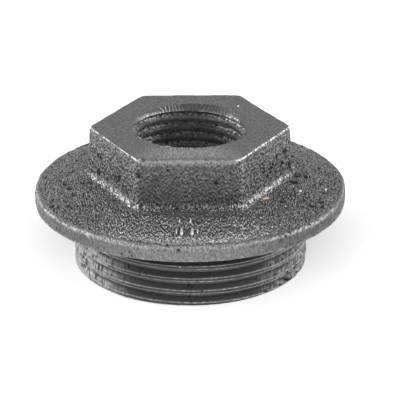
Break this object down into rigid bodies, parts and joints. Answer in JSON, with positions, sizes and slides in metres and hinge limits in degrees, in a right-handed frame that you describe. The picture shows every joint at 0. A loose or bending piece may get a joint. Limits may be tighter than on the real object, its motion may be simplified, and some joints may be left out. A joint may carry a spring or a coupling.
{
  "type": "radiator plug",
  "caption": "Reducing radiator plug in grey iron: hexagon head on a conical flange, threaded shank with a cored hollow and a tapped bore right through.",
  "frame": {"origin": "centre of the open end of the threaded shank, on which the plug stands", "axes": "+Z along the bore, from the shank towards the hexagon head; the hexagon has corners on +X and -X and flats facing -Y and +Y"},
  "size_m": [0.0558, 0.0558, 0.0254],
  "materials": {
    "cast_iron": "rough grey cast skin, with machined end, threads and top face"
  },
  "bodies": {
    "root": {"plug_body": "cast_iron"}
  },
  "joints": []
}
